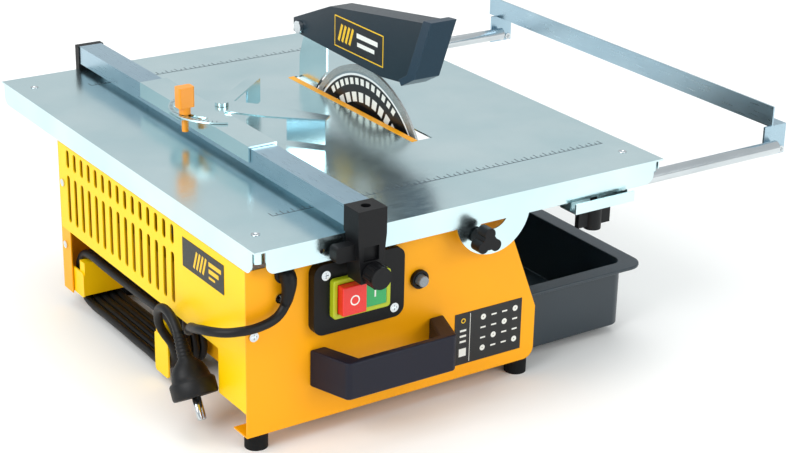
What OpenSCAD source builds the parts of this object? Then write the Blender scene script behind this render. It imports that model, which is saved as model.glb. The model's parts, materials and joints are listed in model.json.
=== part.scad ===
// Wet tile saw: tilting steel table on a sheet-metal cabinet, water tray below the blade,
// side extension on sliding tubes, rip fence with a mitre guide, guard on a riving knife.
// +X is to the user's right, -Y is the front with the switch, +Z is up, z = 0 is the bench.

/* [Table] */
// Table width, left to right
table_w = 400; // [380:1:440]
// Table depth, front to back
table_d = 477.2; // [470:1:560]
// Height of the table's top above the bench
table_z = 178; // [176:1:186]
// Thickness of the table sheet
table_t = 1.5; // [1:0.1:2]
// Depth of the folded skirt below the top
skirt_h = 20; // [16:1:20]
// Thickness of the skirt
skirt_t = 1.2; // [1:0.1:1.2]
// Width of the slot round the blade
slot_w = 15.5; // [14:0.5:18]
// Radius of the tilt quadrant's outer edge
quadrant_r = 37; // [34:1:38]

/* [Cabinet] */
// Cabinet width at its foot
cabinet_w = 280; // [260:1:284]
// Width of the cabinet along its top
cabinet_top_w = 243; // [232:1:246]
// Height of the cabinet's panels
panel_h = 142; // [138:1:142]
// Thickness of the panels
panel_t = 1.2; // [1:0.1:1.5]
// Height of the rubber feet
foot_h = 15; // [12:1:18]
// Diameter of the rubber feet
foot_d = 19; // [15:1:19]
// Distance from the front panel to the rear panel, over the outside
cabinet_d = 340.6; // [340.6:0.1:350]
// Slots in one row of the side grille
grille_slots = 15; // [8:1:15]
// Width of one grille slot
grille_slot_w = 6; // [4:0.5:8]
// Depth of the cord recess in the left side
recess_d = 44.4; // [42:0.2:48]

/* [Blade and motor] */
// Diameter of the diamond blade
blade_d = 200; // [180:1:200]
// Thickness of the blade's steel core
core_t = 1.8; // [1.4:0.1:2]
// Thickness of the diamond rim
rim_t = 2.4; // [2:0.1:2.6]
// Height of the blade's axis above the bench
axis_z = 118; // [118:1:120]
// Diameter of the arbor shaft
shaft_d = 16; // [14:1:18]
// Outside diameter of the motor
motor_d = 84; // [76:1:86]
// Thickness of the riving knife
knife_t = 2; // [1.6:0.1:2.2]

/* [Guard] */
// Width of the blade guard
guard_w = 24; // [22:0.5:26]
// Thickness of the guard's wall
guard_t = 1.2; // [1:0.1:1.5]

/* [Extension] */
// Diameter of the extension tubes
tube_d = 12; // [10:0.5:12]
// Length of the extension tubes
tube_l = 250; // [230:1:256]
// Length of the extension's angle rail, front to back
angle_l = 427; // [400:1:440]

/* [Fence and mitre guide] */
// Width of the fence rail
fence_w = 23; // [20:0.5:24]
// Height of the fence rail
fence_h = 17; // [14:0.5:17]
// Length of the sled that slides on the fence
sled_l = 198; // [160:1:200]
// Length of the longer mitre arm
arm_l = 97; // [80:1:97]

/* [Water tray] */
// Length of the tray's body, left to right
tray_l = 196; // [180:1:198]
// Width of the tray's rim
tray_rim_w = 13; // [10:0.5:13]
// Thickness of the tray's wall
tray_wall = 2; // [1.6:0.1:2.5]

/* [Front controls] */
// Length of the carry handle's bar
handle_l = 104; // [90:1:108]
// Height of the carry handle's bar
handle_h = 32; // [26:1:34]
// Width of the switch plate
switch_w = 84; // [80:1:84]
// Diameter of the tilt lock knob
tilt_knob_d = 24; // [22:1:30]

/* [Mains cord] */
// Diameter of the cord
cord_d = 7.5; // [7:0.1:7.6]
// Turns of cord in the hank
hank_turns = 5; // [3:1:5]
// Length of the hank, front to back
hank_l = 195; // [170:1:195]
// Outside height of the hank
hank_h = 55; // [50:1:55]

/* [Clearances] */
// Gap between pieces that slide or turn past each other
gap = 0.3; // [0.25:0.05:0.4]
// Radial running clearance of a shaft in its hole
run = 0.05; // [0.02:0.01:0.08]

/* [Hidden] */
$fn = 48;

// Table
left = -table_w / 2;
right = table_w / 2;
front = -table_d / 2;
back = table_d / 2;
table_under = table_z - table_t;
skirt_z = table_z - skirt_h;
skirt_in = front + skirt_t;
corner_gap = 10;
skirt_round = 8;
corner_post_r = 5;
screw_hole_x = -141;
// Blade and its slot
blade_x = 50;
blade_y = -3.5;
blade_r = blade_d / 2;
slot_x = blade_x - 5.5;
strip_w = 6;
strip_t = 0.4;
slot_front = blade_y - 91;
slot_back = blade_y + 63.5;
knife_slot_back = blade_y + 118.5;
knife_slot_w = 29.5;
// Cabinet
quadrant_t = skirt_t;
quadrant_y = skirt_in + quadrant_t;
tube_r = tube_d / 2;
tube_front_y = quadrant_y + gap + tube_r;
panel_y = tube_front_y + tube_r + gap;
panel_in = panel_y + panel_t;
rear_y = panel_y + cabinet_d;
rear_in = rear_y - panel_t;
cabinet_x = left + 0.6;
cabinet_right = cabinet_x + cabinet_w;
top_right = cabinet_x + cabinet_top_w;
panel_top = foot_h + panel_h;
flange_w = 20;
side_flange_w = 17;
corner_r = 10;
slant_z = foot_h + 48;
recess_x = cabinet_x + recess_d;
recess_z = foot_h + 60;
grille_pitch = 14.3;
grille_first = rear_in - 19;
// Tilt hinge
pivot_x = 22;
pivot_z = 166;
pin_r = 4;
ear_r = 9;
lug_r = 8;
lug_t = 3;
lock_r = 24;
lock_a = -135;
lock_sweep = 27;
lock_x = pivot_x + lock_r * cos(lock_a);
lock_z = pivot_z + lock_r * sin(lock_a);
stud_r = 3;
nut_r = 5;
// Extension
tube_z = 160;
tube_back_y = 182;
tube_end = 342;
clamp_x = 101;
clamp_w = 63;
clamp_z = 149;
clamp_sheet = 1.5;
knob_x = clamp_x + clamp_w / 2;
strap_x = tube_end - 9;
strap_w = 26;
strap_t = 2;
strap_low = 150;
strap_holes = [[tube_end + 4.5, strap_low + 4], [tube_end + 12.5, strap_low + 4]];
strap_screw_r = 1.7;
angle_x = strap_x + strap_w;
angle_t = 1.5;
angle_left = tube_end - 1;
angle_rise = 18;
angle_y = tube_front_y + tube_r;
// Fence
fence_x = -120;
fence_z = 183;
fence_top = fence_z + fence_h;
fence_front = front + 1.6;
fence_wall = 1.6;
fence_lock_x = fence_x + 12;
fence_lock_z = 149;
fence_knob_reach = 33;
fence_clamp_back = 8;
sled_t = 1.5;
sled_y = -92;
sled_top = fence_top + gap + sled_t;
mitre_x = fence_x + 28;
mitre_y = 8;
mitre_r = 46;
slot_arc_r = 38;
mitre_z = sled_top + gap;
mitre_t = 1.5;
knob_turn = 6;
mitre_swing = 32;
mitre_head_r = 6;
lock_stud_x = mitre_x - slot_arc_r * cos(knob_turn);
lock_stud_y = mitre_y - slot_arc_r * sin(knob_turn);
// Tray
tray_x = 3;
tray_front = -201;
tray_back = 95;
tray_bottom = 9;
tray_rim_z = 66;
tray_rim_t = 3;
// Front controls
switch_x = -144;
switch_z = 92;
switch_h = 60;
switch_t = 8.4;
plate_screws = [[switch_x + 10, switch_z + 51], [switch_x + switch_w - 10, switch_z + 9]];
panel_screws = [[-170, 129], [-193, 102]];
screw_r = 2;
bezel_x = -130;
bezel_w = 53;
bezel_z = 106;
bezel_h = 33;
bezel_t = 6;
button_z = 110;
button_h = 25;
stop_travel = 4;
start_travel = 0.8;
reset_x = -41;
reset_z = 116;
handle_x = -131;
handle_z = 46;
gland_x = -166;
gland_z = 149;
// Hank of cord, wound round the two hooks
cord_r = cord_d / 2;
hank_x = recess_x - 1.75;
hank_w = hank_turns * cord_d;
hank_y = -90;
hank_z = 34.5;
hook_x = hank_x - hank_w - 3;
// Route of the lead from the gland to the hank
lead_path = [[-166, -231, 137], [-167.5, -231, 130], [-170.5, -231, 123.5], [-175.5, -231.5, 118.5],
  [-182, -232, 115.5], [-190, -232.5, 114], [-199, -233, 113.5], [-208, -231, 113], [-217, -224.5, 111.5],
  [-223.5, -214.5, 110], [-226, -203, 107.5], [-225, -190, 103], [-221, -176, 97.5], [-215, -162, 90],
  [-208, -148, 81.5], [-202, -134, 72.5], [-196.5, -120, 67.5], [-190, -107, 66], [-183, -94, 66],
  [-177.5, -80, 66], [-173, -62, 66], [-169, -42, 66], [-165.5, -20, 66], [-162, 2, 63.5],
  [-160.5, 24, 60], [-160.5, 40, 58.3]];
// Route of the lead that leaves the front of the hank and hangs down to the plug
plug_path = [[-191, -74, 14.5], [-191, -83, 22], [-193, -90, 33], [-197, -92, 43], [-203, -92, 53],
  [-207, -92, 62], [-210, -95.5, 74], [-212.5, -105, 83.7], [-213.5, -118, 87.2], [-214, -131, 83.7],
  [-214, -140, 75]];
plug_top = [-214, -140, 75];
plug_lean = 32;
plug_turn = -58;
plug_r = 19;

// Stands everything so that the object's box is centred over the origin
shift_x = -(left + angle_x) / 2;
shift_y = -(front - fence_knob_reach + back + fence_clamp_back) / 2;
module placed() { translate([shift_x, shift_y, 0]) children(); }

// Block between two corners
module block(a, b) { translate(a) cube(b - a); }
// Plate of a flat outline drawn in x and z, between two values of y
module yplate(y0, y1) { translate([0, y1, 0]) rotate([90, 0, 0]) linear_extrude(y1 - y0) children(); }
// Plate of a flat outline drawn in y and z, between two values of x
module xplate(x0, x1) { translate([x0, 0, 0]) rotate([90, 0, 90]) linear_extrude(x1 - x0) children(); }
// Plate of a flat outline drawn in x and y, between two values of z
module zplate(z0, z1) { translate([0, 0, z0]) linear_extrude(z1 - z0) children(); }
// Round bars along the three axes
module xbar(y, z, x0, x1, r) { xplate(x0, x1) translate([y, z]) circle(r); }
module ybar(x, z, y0, y1, r) { yplate(y0, y1) translate([x, z]) circle(r); }
module zbar(x, y, z0, z1, r) { zplate(z0, z1) translate([x, y]) circle(r); }
// Rectangle with round corners, from its lowest corner
module soft_square(w, h, r) {
  translate([r, 0]) square([w - 2 * r, h]);
  translate([0, r]) square([w, h - 2 * r]);
  for (x = [r, w - r], y = [r, h - r]) translate([x, y]) circle(r);
}
// Upright slot with round ends, from its lowest point
module slot_hole(w, h) {
  translate([-w / 2, w / 2]) square([w, h - w]);
  for (y = [w / 2, h - w / 2]) translate([0, y]) circle(w / 2);
}
// Wedge of a circle between two angles
module wedge(a0, a1, r) {
  polygon([[0, 0], for (i = [0 : 6]) let (a = a0 + (a1 - a0) * i / 6) 1.2 * r * [cos(a), sin(a)]]);
}
// Curved slot at radius r, from angle a0 to a1, with round ends
module arc_slot(r, half, a0, a1) {
  intersection() {
    difference() {
      circle(r + half);
      circle(r - half);
    }
    wedge(a0, a1, r + half);
  }
  for (a = [a0, a1]) translate(r * [cos(a), sin(a)]) circle(half);
}
// Racing-track outline, from its lowest corner
module track(w, h) {
  translate([h / 2, 0]) square([w - h, h]);
  for (x = [h / 2, w - h / 2]) translate([x, h / 2]) circle(h / 2);
}
// Cross-head screw along Y: its head towards -Y
module y_screw(x, z, y0, len, r) {
  difference() {
    ybar(x, z, y0 - r * 0.7, y0, r * 2);
    block([x - r * 1.2, y0 - r * 0.8, z - r * 0.2], [x + r * 1.2, y0 - r * 0.3, z + r * 0.2]);
    block([x - r * 0.2, y0 - r * 0.8, z - r * 1.2], [x + r * 0.2, y0 - r * 0.3, z + r * 1.2]);
  }
  ybar(x, z, y0, y0 + len, r);
}

module table_top() color("silver") placed() {
  difference() {
    block([left, front, table_under], [right, back, table_z]);
    block([slot_x, slot_front, 0], [slot_x + slot_w, slot_back, table_z + 1]);
    block([slot_x, slot_back - 1, 0], [slot_x + knife_slot_w, knife_slot_back, table_z + 1]);
  }
  for (s = [-1, 1]) {
    yplate(s > 0 ? back - skirt_t : front, s > 0 ? back : front + skirt_t)
      difference() {
        translate([left + corner_gap, skirt_z])
          soft_square(table_w - 2 * corner_gap, skirt_h + skirt_round, skirt_round);
        translate([left, table_under]) square([table_w, 30]);
        translate([screw_hole_x, skirt_z + 9]) circle(2);
      }
    difference() {
      xplate(s > 0 ? right - skirt_t : left, s > 0 ? right : left + skirt_t)
        difference() {
          translate([front + corner_gap / 2, skirt_z])
            soft_square(table_d - corner_gap, skirt_h + skirt_round, skirt_round);
          translate([front, table_under]) square([table_d, 30]);
        }
      for (y = [tube_front_y, tube_back_y])
        block([right - 5, y - tube_r - 1.5, 0], [right + 1, y + tube_r + 1.5, tube_z + tube_r + 1.5]);
    }
  }
  for (x = [left + 7, right - 7], y = [front + 8, back - 8])
    zbar(x, y, tube_z + tube_r + 2 * gap, table_under, corner_post_r);
}

module slot_strip() color("gold") placed()
  block([slot_x - strip_w, slot_front, table_z], [slot_x - 0.2, knife_slot_back, table_z + strip_t]);

module hinge_lugs() color("silver") placed()
  for (y = [panel_in + gap, rear_in - gap - lug_t])
    yplate(y, y + lug_t)
      difference() {
        union() {
          translate([pivot_x, pivot_z]) circle(lug_r);
          translate([pivot_x - lug_r, pivot_z]) square([2 * lug_r, table_under - pivot_z]);
        }
        translate([pivot_x, pivot_z]) circle(pin_r + run);
      }

module tilt_quadrant() color("silver") placed()
  yplate(skirt_in, quadrant_y)
    difference() {
      translate([pivot_x, pivot_z]) circle(quadrant_r);
      translate([pivot_x, pivot_z]) circle(15.5);
      translate([pivot_x - 50, pivot_z + 6]) square([100, 50]);
      translate([pivot_x, pivot_z]) arc_slot(lock_r, stud_r + gap, lock_a - 1, lock_a + lock_sweep);
    }

module extension_clamps() color("silver") placed()
  for (y = [tube_front_y, tube_back_y]) {
    s = y < 0 ? -1 : 1;
    y_in = y - s * (tube_r - 0.3);
    y_out = y + s * (tube_r + 9.5);
    y_wall = y < 0 ? skirt_in : y + tube_r + 1.5;
    difference() {
      block([clamp_x, min(y_in, y_out), clamp_z],
        [clamp_x + clamp_w, max(y_in, y_out), clamp_z + clamp_sheet]);
      zbar(knob_x, y, clamp_z - 1, clamp_z + 3, stud_r + run);
    }
    block([clamp_x, min(y_out, y_out - s * clamp_sheet), clamp_z],
      [clamp_x + clamp_w, max(y_out, y_out - s * clamp_sheet), clamp_z + 9]);
    for (x = [clamp_x, clamp_x + clamp_w - clamp_sheet])
      difference() {
        block([x, min(y_in, y_wall), clamp_z], [x + clamp_sheet, max(y_in, y_wall), table_under]);
        xbar(y, tube_z, x - 1, x + clamp_sheet + 1, tube_r + gap);
      }
  }

// Outline of the front and rear panels, in x and z
module panel_outline(ear) {
  difference() {
    union() {
      polygon([[cabinet_x, foot_h], [cabinet_right - corner_r, foot_h],
        [cabinet_right, foot_h + corner_r],
        [cabinet_right, slant_z], [top_right + 3.5, panel_top - 9], [top_right, panel_top],
        [cabinet_x, panel_top]]);
      translate([cabinet_right - corner_r, foot_h + corner_r]) circle(corner_r);
      if (ear) {
        translate([pivot_x, pivot_z]) circle(ear_r);
        translate([pivot_x - ear_r, panel_top - 5]) square([2 * ear_r, pivot_z - panel_top + 5]);
      }
    }
    translate([pivot_x, pivot_z]) circle(pin_r);
  }
}

module front_panel() color("gold") placed() {
  yplate(panel_y, panel_in)
    difference() {
      panel_outline(true);
      translate([gland_x, gland_z]) circle(6);
      translate([lock_x, lock_z]) circle(stud_r);
      translate([reset_x, reset_z]) circle(5);
      for (p = panel_screws) translate(p) circle(screw_r);
      translate([bezel_x + 2, bezel_z + 2]) square([bezel_w - 4, bezel_h - 4]);
    }
  block([cabinet_x, panel_in, foot_h], [cabinet_right - corner_r, panel_in + flange_w, foot_h + panel_t]);
}

module rear_panel() color("gold") placed() {
  yplate(rear_in, rear_y) panel_outline(true);
  block([recess_x + 1, rear_in - flange_w, foot_h], [cabinet_right - corner_r, rear_in, foot_h + panel_t]);
  block([cabinet_x, rear_in - side_flange_w, foot_h], [cabinet_x + panel_t, rear_in, recess_z]);
}

module side_grille() color("yellow") placed() {
  xplate(cabinet_x, cabinet_x + panel_t)
    difference() {
      translate([panel_in, recess_z]) square([rear_in - panel_in, panel_top - recess_z]);
      for (i = [0 : grille_slots - 1])
        translate([grille_first - i * grille_pitch, 0]) {
          translate([0, recess_z + 10]) slot_hole(grille_slot_w, 45);
          translate([0, recess_z + 62]) slot_hole(grille_slot_w, 17);
        }
    }
  block([cabinet_x, panel_in, foot_h + 21], [cabinet_x + panel_t, panel_in + 44, recess_z]);
}

module recess_wall() color("goldenrod") placed() {
  block([recess_x, panel_in, foot_h + panel_t], [recess_x + panel_t, rear_in, recess_z]);
  block([cabinet_x + panel_t, panel_in, recess_z], [recess_x + panel_t, rear_in, recess_z + panel_t]);
}

module cord_hooks() color("gold") placed() {
  for (y = [hank_y + 18, hank_y + hank_l - 26])
    block([hook_x + 1.5, y, hank_z - 16], [recess_x, y + 10, hank_z + 16]);
  xplate(hook_x, hook_x + 1.5) translate([hank_y + 4, hank_z - 28]) soft_square(24, 36, 3);
  xplate(hook_x, hook_x + 1.5) translate([hank_y + hank_l - 26, hank_z - 18]) soft_square(33, 24, 3);
}

module rubber_feet() color([0.08, 0.08, 0.08]) placed()
  for (p = [[71, panel_in + foot_d / 2 + 0.6], [-185, panel_in + foot_d / 2 + 0.6],
      [71, rear_in - foot_d / 2 - 0.3], [-140, rear_in - foot_d / 2 - 0.3]])
    difference() {
      zbar(p.x, p.y, 0, foot_h, foot_d / 2);
      zbar(p.x, p.y, -1, 5, 3.5);
    }

module motor_bulkhead() color("gray") placed()
  difference() {
    block([20.8, panel_in + flange_w + 1, 75], [22, rear_in, 150]);
    xbar(blade_y, axis_z, 20, 23, 14);
    block([20, panel_in, 140], [23, panel_in + flange_w + 14, 151]);
  }

module tray_rails() color("gray") placed()
  for (s = [0, 1]) {
    y0 = s == 0 ? panel_in : rear_in - 18;
    block([-100, y0, tray_rim_z - 1.5], [78 - 8, y0 + 18, tray_rim_z - gap]);
  }

module cabinet_screws() color("silver") placed() {
  for (p = panel_screws) y_screw(p.x, p.y, panel_y, 6, screw_r);
  for (p = plate_screws) y_screw(p.x, p.y, panel_y - switch_t, 6, screw_r);
  for (z = [60, 120]) xbar(rear_in - 8, z, cabinet_x - 1.6, cabinet_x, 3.5);
}

module switch_plate() color([0.13, 0.14, 0.15]) placed()
  difference() {
    yplate(panel_y - switch_t, panel_y)
      difference() {
        translate([switch_x, switch_z]) soft_square(switch_w, switch_h, 9);
        translate([bezel_x + 2, bezel_z + 2]) square([bezel_w - 4, bezel_h - 4]);
      }
    for (p = plate_screws) ybar(p.x, p.y, panel_y - switch_t - 1, panel_y + 1, screw_r);
  }

module switch_bezel() color("greenyellow") placed()
  yplate(panel_y - switch_t - bezel_t, panel_y - switch_t)
    difference() {
      translate([bezel_x, bezel_z]) soft_square(bezel_w, bezel_h, 3);
      translate([bezel_x + 4, button_z]) square([bezel_w - 8, button_h]);
    }

module switch_body() color([0.2, 0.2, 0.2]) placed()
  block([bezel_x + 2, panel_y - switch_t, bezel_z + 2],
    [bezel_x + bezel_w - 2, panel_in + 30, bezel_z + bezel_h - 2]);

// Push button: a cap that stands off the switch body by its travel
module push_button(x, w, rise, travel) placed()
  block([x, panel_y - switch_t - bezel_t - rise, button_z + gap],
    [x + w, panel_y - switch_t - travel - 2 * gap, button_z + button_h - gap]);
module stop_button() color("red") push_button(bezel_x + 4 + gap, 22, 7, stop_travel);
module start_button() color("limegreen") push_button(bezel_x + 27, 21.5, 1, start_travel);

module reset_ring() color("gray") placed()
  yplate(panel_y - 4, panel_y)
    difference() {
      translate([reset_x, reset_z]) circle(8);
      translate([reset_x, reset_z]) circle(5 + gap);
    }
module reset_button() color("gainsboro") placed() ybar(reset_x, reset_z, panel_y - 9, panel_y + 4, 5 - gap);

module carry_handle() color([0.12, 0.12, 0.16]) placed() {
  bar_y = panel_y - 38;
  for (m = [0, 1]) {
    foot_x = m == 0 ? handle_x - 12 : handle_x + handle_l + 12;
    bar_x = m == 0 ? handle_x : handle_x + handle_l;
    s = m == 0 ? 1 : -1;
    zplate(handle_z, handle_z + handle_h)
      polygon([[foot_x, panel_y], [foot_x + s * 14, panel_y], [bar_x + s * 14, bar_y + 7],
        [bar_x + s * 3, bar_y], [bar_x, bar_y + 2]]);
  }
  zplate(handle_z, handle_z + handle_h)
    translate([handle_x + 3, bar_y]) square([handle_l - 6, 7]);
}

module rating_label() color([0.1, 0.1, 0.1]) placed()
  block([-3, panel_y - 0.4, 27], [66, panel_y, 74]);
module side_label() color([0.1, 0.1, 0.1]) placed()
  block([cabinet_x - 0.4, -190, 125], [cabinet_x, -122, 150]);

module cable_gland() color([0.06, 0.06, 0.06]) placed() {
  ybar(gland_x, gland_z, panel_y - 3, panel_y, 8.5);
  ybar(gland_x, gland_z, panel_y, panel_in + 8, 6);
  ybar(gland_x, gland_z, panel_y - 12.4, panel_y - 3, 6);
  zbar(gland_x, panel_y - 7.4, gland_z - 12, gland_z, 5);
}

// Tube of one polyhedron along a path; each ring stands across the run of its neighbours
function along(p, i) =
  let (d = p[min(i + 1, len(p) - 1)] - p[max(i - 1, 0)]) d / norm(d);
function side(d) = let (u = abs(d.z) > 0.8 ? [0, 1, 0] : [0, 0, 1], s = cross(d, u)) s / norm(s);
module tube(p, r, sides = 10) {
  rings = [for (i = [0 : len(p) - 1]) let (d = along(p, i), a = side(d), b = cross(a, d))
    for (k = [0 : sides - 1]) p[i] + r * (cos(360 * k / sides) * a + sin(360 * k / sides) * b)];
  n = len(p);
  walls = [for (i = [0 : n - 2], k = [0 : sides - 1])
    [i * sides + k, i * sides + (k + 1) % sides, (i + 1) * sides + (k + 1) % sides, (i + 1) * sides + k]];
  first = [for (k = [0 : sides - 1]) sides - 1 - k];
  last = [for (k = [0 : sides - 1]) (n - 1) * sides + k];
  polyhedron(rings, concat([first], walls, [last]), 4);
}
module cord_lead() color([0.05, 0.05, 0.05]) placed() tube(lead_path, cord_r);
module plug_lead() color([0.05, 0.05, 0.05]) placed() tube(plug_path, cord_r);
module cord_hank() color([0.05, 0.05, 0.05]) placed()
  xplate(hank_x - hank_w, hank_x)
    difference() {
      translate([hank_y, hank_z - hank_h / 2]) track(hank_l, hank_h);
      translate([hank_y + cord_d, hank_z - hank_h / 2 + cord_d])
        track(hank_l - 2 * cord_d, hank_h - 2 * cord_d);
    }

module plug() color([0.06, 0.06, 0.06]) placed()
  translate(plug_top) rotate([180 - plug_lean, 0, 0]) rotate([0, 0, plug_turn]) {
    cylinder(22, 5, 6.5);
    translate([0, 0, 22]) cylinder(16, 12, plug_r - 1);
    translate([0, 0, 38]) cylinder(14, plug_r, plug_r);
    for (x = [-9.5, 9.5]) translate([x, 0, 52]) cylinder(19, 2.4, 2.4);
  }

module motor_housing() color("gray") placed()
  difference() {
    xbar(blade_y, axis_z, -115, 20.8, motor_d / 2);
    xbar(blade_y, axis_z, -116, 14, motor_d / 2 - 4);
    xbar(blade_y, axis_z, 10, 21, 14);
  }
module motor_end_cap() color("dimgray") placed()
  difference() {
    xbar(blade_y, axis_z, -135, -115, motor_d / 2);
    xbar(blade_y, axis_z, -131, -114, motor_d / 2 - 4);
    xbar(blade_y, axis_z, -136, -130, 14);
  }
module stator() color("saddlebrown") placed()
  difference() {
    xbar(blade_y, axis_z, -95, -25, motor_d / 2 - 4);
    xbar(blade_y, axis_z, -96, -24, 30);
  }
module shaft_bearings() color("silver") placed()
  for (x = [-135, 14])
    difference() {
      xbar(blade_y, axis_z, x, x + (x < 0 ? 4 : 6.8), 14);
      xbar(blade_y, axis_z, x - 1, x + 9, shaft_d / 2 + run);
    }
module capacitor() color("silver") placed() {
  xbar(62, axis_z - 12, -90, -20, 16);
  block([-90, 70, axis_z - 4], [-20, rear_in, axis_z - 1]);
}
module rotor_shaft() color("silver") placed() {
  xbar(blade_y, axis_z, -138, blade_x + 18, shaft_d / 2);
  xbar(blade_y, axis_z, -92, -28, 29);
}
module cooling_fan() color([0.1, 0.1, 0.1]) placed()
  difference() {
    union() {
      xbar(blade_y, axis_z, -113, -111, 33);
      for (a = [0 : 45 : 315])
        translate([-111, blade_y, axis_z]) rotate([a, 0, 0]) translate([0, 10, -1]) cube([9, 22, 2]);
      xbar(blade_y, axis_z, -113, -102, 12);
    }
    xbar(blade_y, axis_z, -114, -100, shaft_d / 2);
  }
module blade_flanges() color("silver") placed()
  for (x = [blade_x - core_t / 2 - 5, blade_x + core_t / 2])
    difference() {
      xbar(blade_y, axis_z, x, x + 5, 22);
      xbar(blade_y, axis_z, x - 1, x + 6, shaft_d / 2);
    }
module blade() color([0.2, 0.2, 0.2]) placed()
  difference() {
    xbar(blade_y, axis_z, blade_x - core_t / 2, blade_x + core_t / 2, blade_r - 6);
    xbar(blade_y, axis_z, blade_x - 3, blade_x + 3, shaft_d / 2);
  }
module blade_rim() color("lightgray") placed()
  difference() {
    xbar(blade_y, axis_z, blade_x - rim_t / 2, blade_x + rim_t / 2, blade_r);
    xbar(blade_y, axis_z, blade_x - 3, blade_x + 3, blade_r - 6);
  }
module arbor_nut() color("silver") placed()
  difference() {
    xplate(blade_x + core_t / 2 + 5, blade_x + core_t / 2 + 13)
      translate([blade_y, axis_z]) circle(14, $fn = 6);
    xbar(blade_y, axis_z, blade_x, blade_x + 20, shaft_d / 2);
  }
module riving_knife() color("silver") placed()
  xplate(blade_x - knife_t / 2, blade_x + knife_t / 2)
    difference() {
      polygon([[64, 185], [64, 241], [92, 241], [99, 236], [112, 200], [114, 112], [96, 112]]);
      translate([blade_y, axis_z]) circle(blade_r + 3);
      translate([92, 234]) circle(3);
    }
module knife_bracket() color("gray") placed()
  difference() {
    block([22, 100.5, axis_z - 4], [blade_x - knife_t / 2, 113, axis_z + 28]);
    block([26, 99, axis_z], [blade_x - knife_t / 2 - 4, 109, axis_z + 29]);
  }

module hinge_pins() color("silver") placed() {
  ybar(pivot_x, pivot_z, panel_y, panel_in + lug_t + 5, pin_r);
  ybar(pivot_x, pivot_z, panel_in + lug_t + 2 * gap, panel_in + lug_t + 5, pin_r + 2.5);
  ybar(pivot_x, pivot_z, rear_in - lug_t - 5, rear_y, pin_r);
  ybar(pivot_x, pivot_z, rear_in - lug_t - 5, rear_in - lug_t - 2 * gap, pin_r + 2.5);
}
module tilt_lock_bolt() color("silver") placed() {
  ybar(lock_x, lock_z, front - 13, panel_in + 4, stud_r);
  ybar(lock_x, lock_z, panel_in, panel_in + 4, nut_r);
}
module tilt_knob() color([0.08, 0.08, 0.08]) placed()
  difference() {
    union() {
      ybar(lock_x, lock_z, front - 18, front - gap, 6.5);
      for (a = [90, 210, 330])
        ybar(lock_x + 7 * cos(a), lock_z + 7 * sin(a), front - 18, front - 7, tilt_knob_d / 2 - 7);
    }
    ybar(lock_x, lock_z, front - 14, front + 1, stud_r + run);
  }

// Side outline of the guard's hood, in y and z
hood = [[105, 240], [41, 266], [-117, 289], [-95, 237], [-79, 227], [-45, 223], [-1, 224], [105, 227]];
guard_x = blade_x - guard_w / 2;
module blade_guard() color([0.13, 0.18, 0.2]) placed()
  difference() {
    xplate(guard_x, guard_x + guard_w) polygon(hood);
    xplate(guard_x + guard_t, guard_x + guard_w - guard_t)
      polygon([[106, 240 - guard_t], [41, 266 - guard_t], [-115, 289 - 2 * guard_t], [-94, 240],
        [-78, 222], [-45, 220], [106, 220]]);
    xbar(92, 234, guard_x - 1, guard_x + guard_w + 1, 3 + run);
  }
module guard_lip() color([0.16, 0.22, 0.25]) placed()
  difference() {
    xplate(guard_x - guard_t, guard_x + guard_w + guard_t)
      polygon([[-121, 291], [-109, 290], [-86, 236], [-74, 229], [-78, 224], [-98, 235]]);
    xplate(guard_x, guard_x + guard_w) polygon(hood);
  }
module guard_bolt() color("silver") placed() {
  xbar(92, 234, guard_x - 4, guard_x + guard_w + 4, 3);
  xbar(92, 234, guard_x - 4, guard_x - gap, 6);
  xbar(92, 234, guard_x + guard_w + gap, guard_x + guard_w + 4, 6);
}

module water_tray() color([0.16, 0.2, 0.23]) placed() {
  difference() {
    zplate(tray_bottom, tray_rim_z + 1)
      translate([tray_x, tray_front]) soft_square(tray_l, tray_back - tray_front, 12);
    zplate(tray_bottom + tray_wall, tray_rim_z + 5)
      translate([tray_x + tray_wall, tray_front + tray_wall])
        soft_square(tray_l - 2 * tray_wall, tray_back - tray_front - 2 * tray_wall, 10);
  }
  zplate(tray_rim_z, tray_rim_z + tray_rim_t)
    difference() {
      translate([tray_x - tray_rim_w, tray_front - tray_rim_w])
        soft_square(tray_l + 2 * tray_rim_w, tray_back - tray_front + 2 * tray_rim_w, 16);
      translate([tray_x + tray_wall, tray_front + tray_wall])
        soft_square(tray_l - 2 * tray_wall, tray_back - tray_front - 2 * tray_wall, 10);
    }
}

module extension_tubes() color("gainsboro") placed()
  for (y = [tube_front_y, tube_back_y])
    difference() {
      xbar(y, tube_z, tube_end - tube_l, tube_end, tube_r);
      xbar(y, tube_z, tube_end - tube_l - 1, tube_end - 30, tube_r - 1.2);
    }
module extension_angle() color("silver") placed() {
  for (y = [tube_front_y + tube_r, tube_back_y + tube_r])
    difference() {
      block([strap_x, y, strap_low], [angle_x, y + strap_t, table_z]);
      for (p = strap_holes) ybar(p.x, p.y, y - 1, y + strap_t + 1, strap_screw_r);
    }
  block([angle_left, angle_y, table_z - angle_t], [angle_x, angle_y + angle_l, table_z]);
  block([angle_left, angle_y, table_z - angle_t],
    [angle_left + angle_t, angle_y + angle_l, table_z + angle_rise]);
}
module strap_screws() color("silver") placed()
  for (y = [tube_front_y + tube_r, tube_back_y + tube_r], p = strap_holes)
    y_screw(p.x, p.y, y, strap_t + 2, strap_screw_r);

module clamp_knob(y) color([0.08, 0.08, 0.08]) placed() {
  zbar(knob_x, y, clamp_z - 23, clamp_z - gap, 7.5);
  zbar(knob_x, y, clamp_z - 23, tube_z - tube_r - gap, stud_r);
  block([knob_x - 17, y - 2.5, clamp_z - 20], [knob_x + 17, y + 2.5, clamp_z - 6]);
}
module front_clamp_knob() clamp_knob(tube_front_y);
module rear_clamp_knob() clamp_knob(tube_back_y);

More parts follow.
